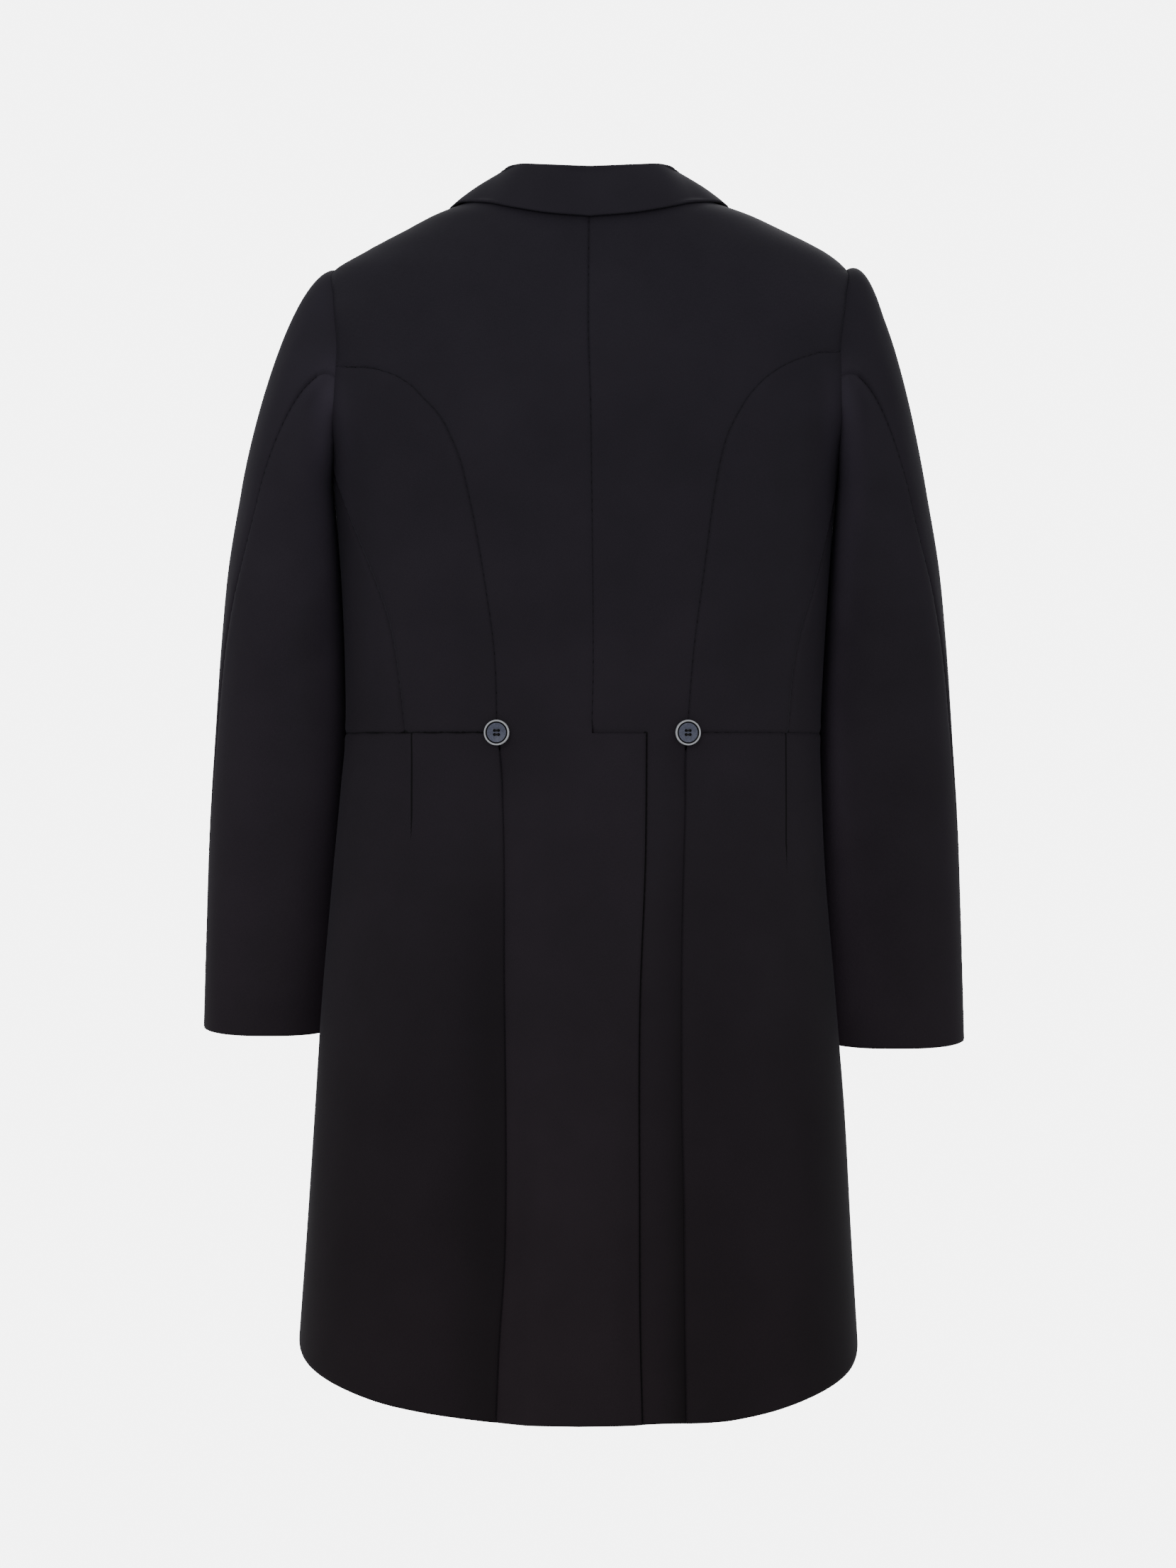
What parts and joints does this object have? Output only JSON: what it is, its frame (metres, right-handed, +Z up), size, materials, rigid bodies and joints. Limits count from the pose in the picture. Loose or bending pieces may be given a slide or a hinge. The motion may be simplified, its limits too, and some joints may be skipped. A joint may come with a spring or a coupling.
{
  "type": "morning coat",
  "caption": "Black single-breasted morning coat with peaked lapels, cutaway skirts and a vented tail, filled out and hollow.",
  "frame": {"origin": "root of the neck, midway between the shoulders that carry the coat", "axes": "+Z up, the coat's front faces +Y, the wearer's right hand side is +X"},
  "size_m": [0.6255, 0.284, 1.0351],
  "materials": {
    "wool": "fine black worsted wool, matt with a faint sheen at the edges",
    "button": "marbled blue-grey with a pale polished rim"
  },
  "bodies": {
    "root": {"back_left": "wool", "back_right": "wool", "side_body_left": "wool", "side_body_right": "wool", "forepart_left": "wool", "forepart_right": "wool", "lapel_left": "wool", "lapel_right": "wool", "skirt_left": "wool", "skirt_right": "wool", "top_sleeve_left": "wool", "top_sleeve_right": "wool", "under_sleeve_left": "wool", "under_sleeve_right": "wool", "collar": "wool", "back_button_left": "button", "back_button_right": "button", "front_button": "button"}
  },
  "joints": []
}
